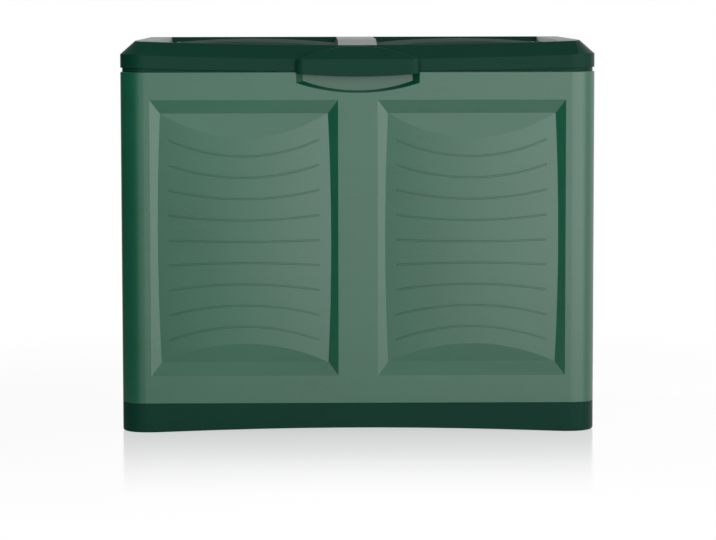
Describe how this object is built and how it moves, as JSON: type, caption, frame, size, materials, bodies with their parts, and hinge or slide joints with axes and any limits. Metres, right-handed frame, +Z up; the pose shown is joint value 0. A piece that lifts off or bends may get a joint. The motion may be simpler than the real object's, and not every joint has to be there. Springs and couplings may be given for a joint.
{
  "type": "outdoor storage box",
  "caption": "Green plastic garden storage chest with framed, beaded wall panels, an arched base band and a hinged lid with a moulded pull over a finger pocket.",
  "frame": {"origin": "on the floor, under the middle of the whole box", "axes": "+Z up, +X to the right seen from the front, front towards -Y"},
  "size_m": [0.7814, 0.56, 0.644],
  "materials": {
    "wall_green": "satin moulded plastic, fine grain",
    "dark_green": "satin moulded plastic, fine grain",
    "steel": "zinc plated"
  },
  "bodies": {
    "box": {"base_tray": "dark_green", "front_panel": "wall_green", "back_panel": "wall_green", "left_side_panel": "wall_green", "right_side_panel": "wall_green", "left_hinge_pin": "steel", "right_hinge_pin": "steel", "front_corner_screws": "steel", "rear_corner_screws": "steel", "base_screws": "steel"},
    "lid": {"lid": "dark_green"}
  },
  "joints": [
    {"name": "lid_hinge", "type": "hinge", "parent": "box", "child": "lid", "pos_m": [0, 0.274, 0.5965], "axis": [-1, 0, 0], "range_deg": [0, 100]}
  ]
}
